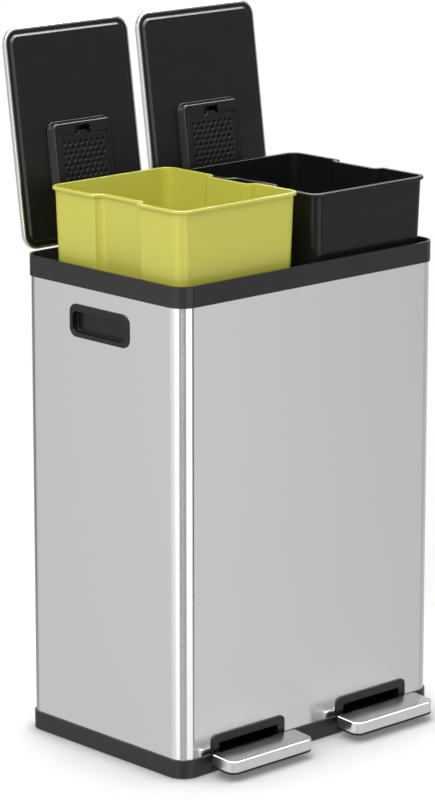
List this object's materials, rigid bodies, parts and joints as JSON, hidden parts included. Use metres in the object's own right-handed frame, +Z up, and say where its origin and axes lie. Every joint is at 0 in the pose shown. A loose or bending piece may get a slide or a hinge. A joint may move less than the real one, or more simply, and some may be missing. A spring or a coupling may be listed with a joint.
{
  "type": "double recycling pedal bin",
  "caption": "Steel pedal bin with side-by-side lift-out buckets, each under its own hinged lid with a vented filter holder, opened by its own pedal.",
  "frame": {"origin": "on the floor, under the middle of the steel body", "axes": "+Z up; -Y towards the side with the pedals; +X to the right when facing that side"},
  "size_m": [0.4572, 0.4007, 0.9235],
  "materials": {
    "steel": "satin brushed sheet",
    "tread_steel": "satin pressed sheet",
    "plated_steel": "dull zinc plate",
    "grey_plastic": "fine satin grain",
    "black_plastic": "fine satin grain",
    "inner_plastic": "matt",
    "bucket_black": "soft gloss",
    "lime_plastic": "soft gloss",
    "filter_foam": "open black felt",
    "rubber": "matt"
  },
  "bodies": {
    "body": {"steel_shell": "steel", "top_collar": "grey_plastic", "base_tray": "grey_plastic", "false_floor": "inner_plastic", "handle_cup_left": "black_plastic", "handle_cup_right": "black_plastic", "pedal_bezel_left": "black_plastic", "pedal_bezel_right": "black_plastic", "foot_front_left": "rubber", "foot_front_right": "rubber", "foot_rear_right": "rubber", "foot_rear_left": "rubber", "floor_screw_front_left": "plated_steel", "floor_screw_front_right": "plated_steel", "floor_screw_rear_right": "plated_steel", "floor_screw_rear_left": "plated_steel", "rear_duct_left": "inner_plastic", "rear_duct_right": "inner_plastic", "duct_screw_left_lower": "plated_steel", "duct_screw_left_upper": "plated_steel", "duct_screw_right_lower": "plated_steel", "duct_screw_right_upper": "plated_steel", "damper_cylinder_left": "plated_steel", "damper_cylinder_right": "plated_steel", "hinge_pin_left": "plated_steel", "hinge_pin_right": "plated_steel", "pedal_axle_left": "plated_steel", "pedal_axle_right": "plated_steel"},
    "lid_left": {"lid_skin_left": "steel", "lid_liner_left": "black_plastic", "lid_lever_left": "inner_plastic", "filter_cartridge_left": "filter_foam"},
    "lid_right": {"lid_skin_right": "steel", "lid_liner_right": "black_plastic", "lid_lever_right": "inner_plastic", "filter_cartridge_right": "filter_foam"},
    "filter_door_left": {"filter_door_left": "black_plastic"},
    "filter_door_right": {"filter_door_right": "black_plastic"},
    "pedal_left": {"pedal_cover_left": "tread_steel", "pedal_core_left": "black_plastic", "pedal_lever_left": "plated_steel"},
    "pedal_right": {"pedal_cover_right": "tread_steel", "pedal_core_right": "black_plastic", "pedal_lever_right": "plated_steel"},
    "rod_left": {"push_rod_left": "plated_steel", "rod_foot_left": "inner_plastic", "rod_head_left": "inner_plastic", "damper_piston_left": "plated_steel"},
    "rod_right": {"push_rod_right": "plated_steel", "rod_foot_right": "inner_plastic", "rod_head_right": "inner_plastic", "damper_piston_right": "plated_steel"},
    "bucket_left": {"bucket_left": "lime_plastic"},
    "bucket_right": {"bucket_right": "bucket_black"}
  },
  "joints": [
    {"name": "lid_left_hinge", "type": "hinge", "parent": "body", "child": "lid_left", "pos_m": [-0.1139, 0.1511, 0.633], "axis": [1, 0, 0], "range_deg": [0, 98]},
    {"name": "lid_right_hinge", "type": "hinge", "parent": "body", "child": "lid_right", "pos_m": [0.1139, 0.1511, 0.633], "axis": [1, 0, 0], "range_deg": [0, 98]},
    {"name": "filter_door_left_hinge", "type": "hinge", "parent": "lid_left", "child": "filter_door_left", "pos_m": [-0.1139, 0.15322, 0.71349], "axis": [1, 0, 0], "range_deg": [0, 60]},
    {"name": "filter_door_right_hinge", "type": "hinge", "parent": "lid_right", "child": "filter_door_right", "pos_m": [0.1139, 0.15322, 0.71349], "axis": [1, 0, 0], "range_deg": [0, 60]},
    {"name": "pedal_left_pivot", "type": "hinge", "parent": "body", "child": "pedal_left", "pos_m": [-0.112, -0.031, 0.024], "axis": [1, 0, 0], "range_deg": [-8.12, 0]},
    {"name": "pedal_right_pivot", "type": "hinge", "parent": "body", "child": "pedal_right", "pos_m": [0.112, -0.031, 0.024], "axis": [1, 0, 0], "range_deg": [-8.12, 0]},
    {"name": "rod_left_slide", "type": "slide", "parent": "body", "child": "rod_left", "axis": [0, 0, 1], "range_m": [-0.024, 0]},
    {"name": "rod_right_slide", "type": "slide", "parent": "body", "child": "rod_right", "axis": [0, 0, 1], "range_m": [-0.024, 0]},
    {"name": "bucket_left_lift", "type": "slide", "parent": "body", "child": "bucket_left", "axis": [0, 0, 1], "range_m": [-0.116, 0.47]},
    {"name": "bucket_right_lift", "type": "slide", "parent": "body", "child": "bucket_right", "axis": [0, 0, 1], "range_m": [-0.108, 0.478]}
  ],
  "couplings": [
    {"joint": "pedal_left_pivot", "follows": "lid_left_hinge", "ratio": -0.082857},
    {"joint": "pedal_right_pivot", "follows": "lid_right_hinge", "ratio": -0.082857},
    {"joint": "rod_left_slide", "follows": "lid_left_hinge", "m_per_rad": -0.014031},
    {"joint": "rod_right_slide", "follows": "lid_right_hinge", "m_per_rad": -0.014031},
    {"joint": "bucket_left_lift", "follows": "lid_left_hinge", "m_per_rad": -0.067819},
    {"joint": "bucket_right_lift", "follows": "lid_right_hinge", "m_per_rad": -0.063142}
  ]
}
